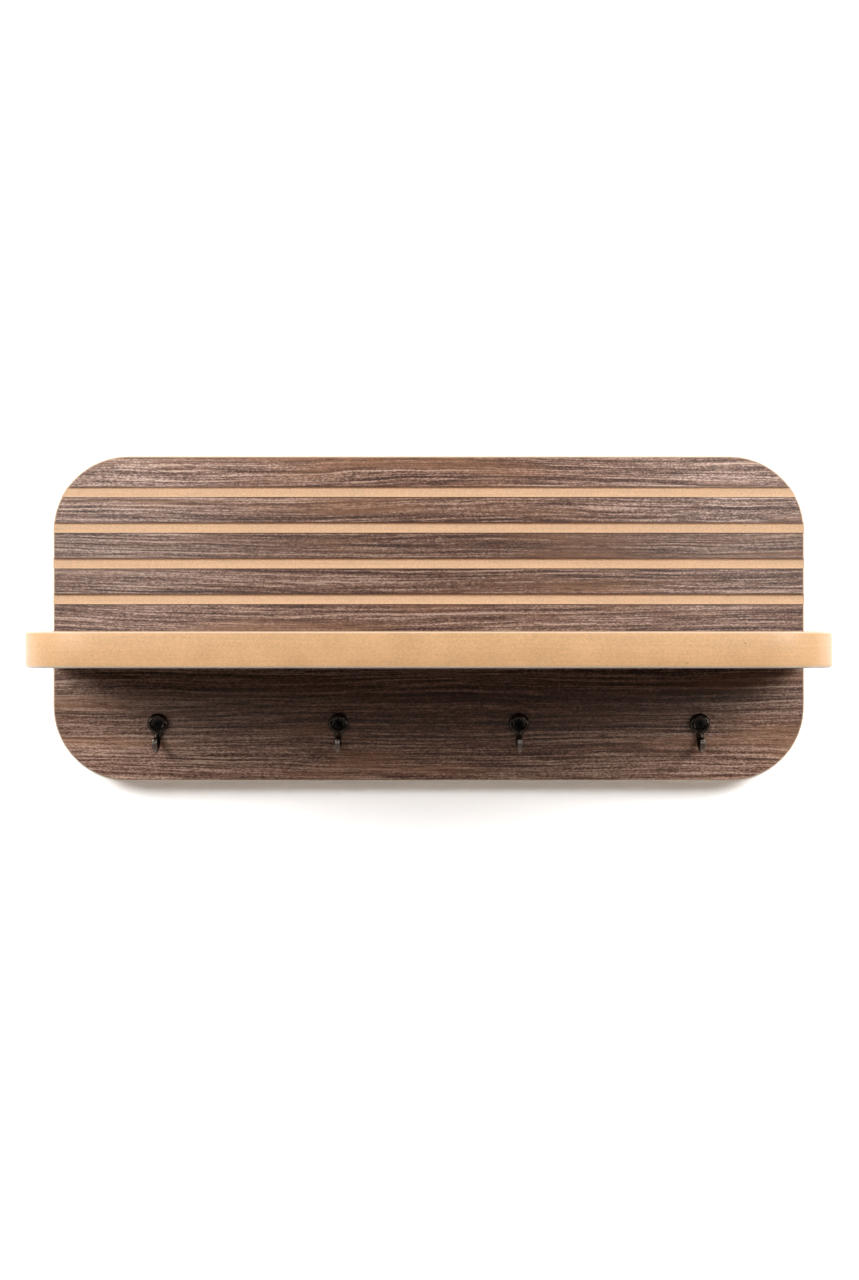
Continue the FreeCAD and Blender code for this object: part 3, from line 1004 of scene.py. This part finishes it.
def recessCutter(form):
    # Two crossed blades that narrow towards the bottom
    length, width = form["slotLength"], form["slotWidth"]
    top = screwCut["recessTopShare"]
    endLength, endWidth = screwCut["recessEndShares"]
    mesh = skinRings("recess", [
        crossOutline(length * top, width * top, -screwCut["recessAbove"]),
        crossOutline(length, width, 0.0),
        crossOutline(length * endLength, width * endWidth, form["slotDepth"]),
    ])
    smoothMesh(mesh, screwCut["sharpDegrees"])
    return linkPiece("recess", mesh)


def addScrews(baseName, form, places, finish, node, facingBack=False):
    for number, (place, degrees) in enumerate(zip(places, form["turns"]), start=1):
        piece = screwPiece(f"{baseName}{number}", form)
        cutAway(piece, recessCutter(form))
        turned = Matrix.Rotation(math.radians(degrees), 4, "Y")
        if facingBack:
            turned = Matrix.Rotation(math.pi, 4, "Z") @ turned
        piece.data.transform(Matrix.Translation(place) @ turned @ Matrix.Scale(mm, 4))
        smoothMesh(piece.data, screwCut["sharpDegrees"])
        piece.data.materials.clear()
        piece.data.materials.append(finish)
        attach(piece, "root")
        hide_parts(node)


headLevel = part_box("hook_screws")[0].y
hookScrewPlaces = [Vector((place.x, headLevel, place.z)) for place in hookPlaces]
addScrews("hookScrew", hookScrew, hookScrewPlaces, finishes["hookScrew"], "hook_screws")
screwsLow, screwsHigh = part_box("shelf_screws")
screwX = screwsHigh.x - shelfScrew["head"] * mm
screwZ = middle(screwsLow.z, screwsHigh.z)
shelfScrewPlaces = [Vector((side * screwX, screwsHigh.y, screwZ)) for side in (-1, 1)]
addScrews("shelfScrew", shelfScrew, shelfScrewPlaces, finishes["shelfScrew"], "shelf_screws",
          facingBack=True)
print("screws turned")

# Dowels, fluted, between the board and the shelf

dowelForm = {
    "radius": 4.0,
    "flutes": 18,
    "fluteDepth": 0.22,
    "sidesPerFlute": 6,
    "chamfer": 1.2,
    # From the end inwards: share of the chamfer along the dowel, and by how much of it the end is narrower
    "chamferShares": ((0, 0.8), (0.4, 0.3), (1, 0)),
    "sharpDegrees": 40,
}


def addDowels():
    form = dowelForm
    low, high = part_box("dowels")
    length = (high.y - low.y) / mm
    chamfer = form["chamfer"]
    ends = [(along * chamfer, narrower * chamfer) for along, narrower in form["chamferShares"]]
    stations = ends + [(length / 2, 0)] + [(length - y, narrower) for y, narrower in reversed(ends)]
    flutes = [form["fluteDepth"] * (0.5 - 0.5 * math.cos(form["flutes"] * turn)) ** 2
              for turn in turnsOf(form["flutes"] * form["sidesPerFlute"])]
    rings = []
    for y, narrower in stations:
        rings.append(unevenRing([form["radius"] - narrower - flute for flute in flutes], y))
    radius = form["radius"] * mm
    for number, x in enumerate((low.x + radius, high.x - radius), start=1):
        mesh = skinRings(f"dowel{number}", rings)
        mesh.transform(Matrix.Translation((x, low.y, middle(low.z, high.z))) @ Matrix.Scale(mm, 4))
        smoothMesh(mesh, form["sharpDegrees"])
        piece = linkPiece(f"dowel{number}", mesh)
        mesh.materials.append(finishes["dowel"])
        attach(piece, "root")
        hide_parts("dowels")


addDowels()
print("dowels turned")

scene.view_settings.view_transform = "Standard"
